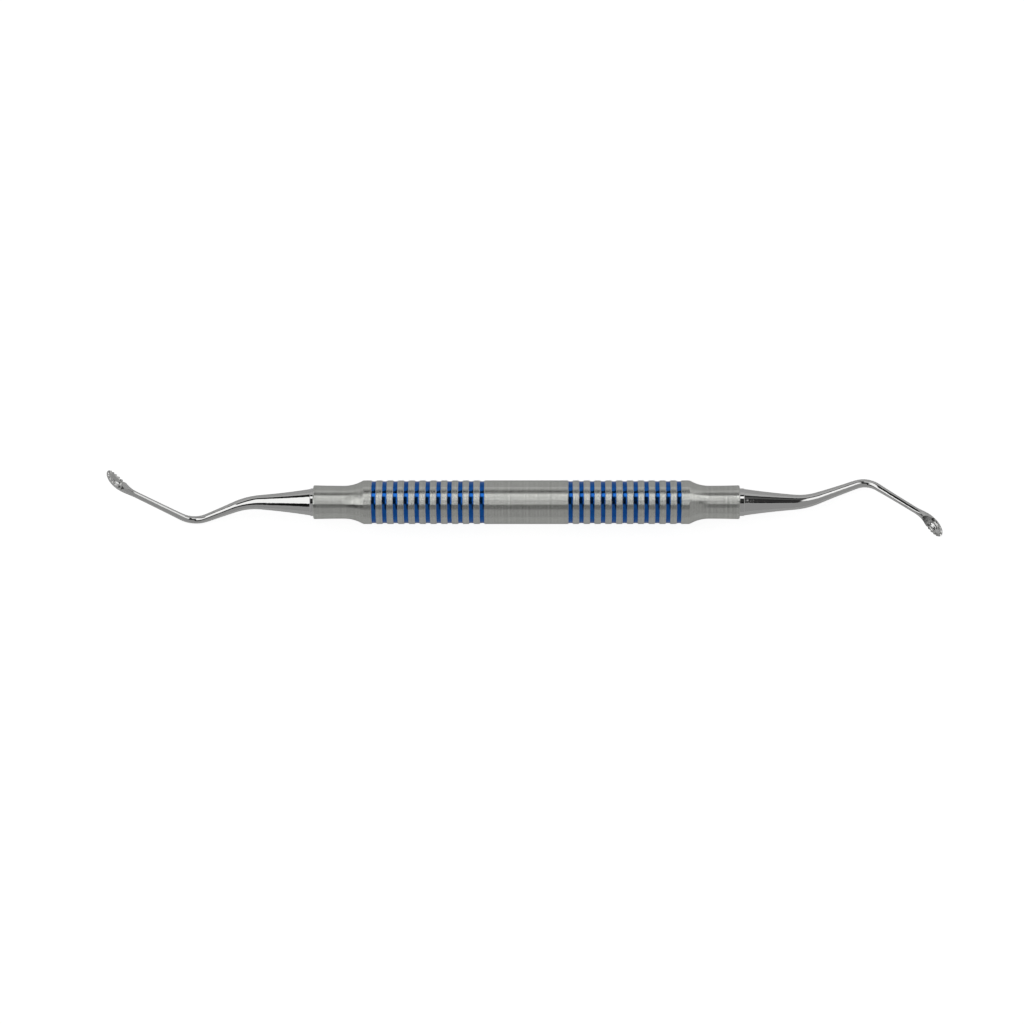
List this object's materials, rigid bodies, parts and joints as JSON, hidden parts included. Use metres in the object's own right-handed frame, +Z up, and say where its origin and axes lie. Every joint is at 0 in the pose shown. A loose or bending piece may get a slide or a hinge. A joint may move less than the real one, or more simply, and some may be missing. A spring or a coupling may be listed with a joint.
{
  "type": "bone curette",
  "caption": "Double-ended surgical bone curette: angled shanks with serrated spoons on a round steel handle with blue grip rings.",
  "frame": {"origin": "middle of the handle, on its axis", "axes": "+X along the handle, +Z up from the table that the curette lies on, +Y completes the right hand"},
  "size_m": [0.1805, 0.0143, 0.0117],
  "materials": {
    "turned_steel": "fine turned satin",
    "polished_steel": "mirror polished",
    "blue_enamel": "gloss metallic blue"
  },
  "bodies": {
    "root": {"handle": "turned_steel", "tip_left": "polished_steel", "tip_right": "polished_steel", "band_left_01": "blue_enamel", "band_left_02": "blue_enamel", "band_left_03": "blue_enamel", "band_left_04": "blue_enamel", "band_left_05": "blue_enamel", "band_left_06": "blue_enamel", "band_left_07": "blue_enamel", "band_left_08": "blue_enamel", "band_left_09": "blue_enamel", "band_left_10": "blue_enamel", "band_left_11": "blue_enamel", "band_right_01": "blue_enamel", "band_right_02": "blue_enamel", "band_right_03": "blue_enamel", "band_right_04": "blue_enamel", "band_right_05": "blue_enamel", "band_right_06": "blue_enamel", "band_right_07": "blue_enamel", "band_right_08": "blue_enamel", "band_right_09": "blue_enamel", "band_right_10": "blue_enamel", "band_right_11": "blue_enamel"}
  },
  "joints": []
}
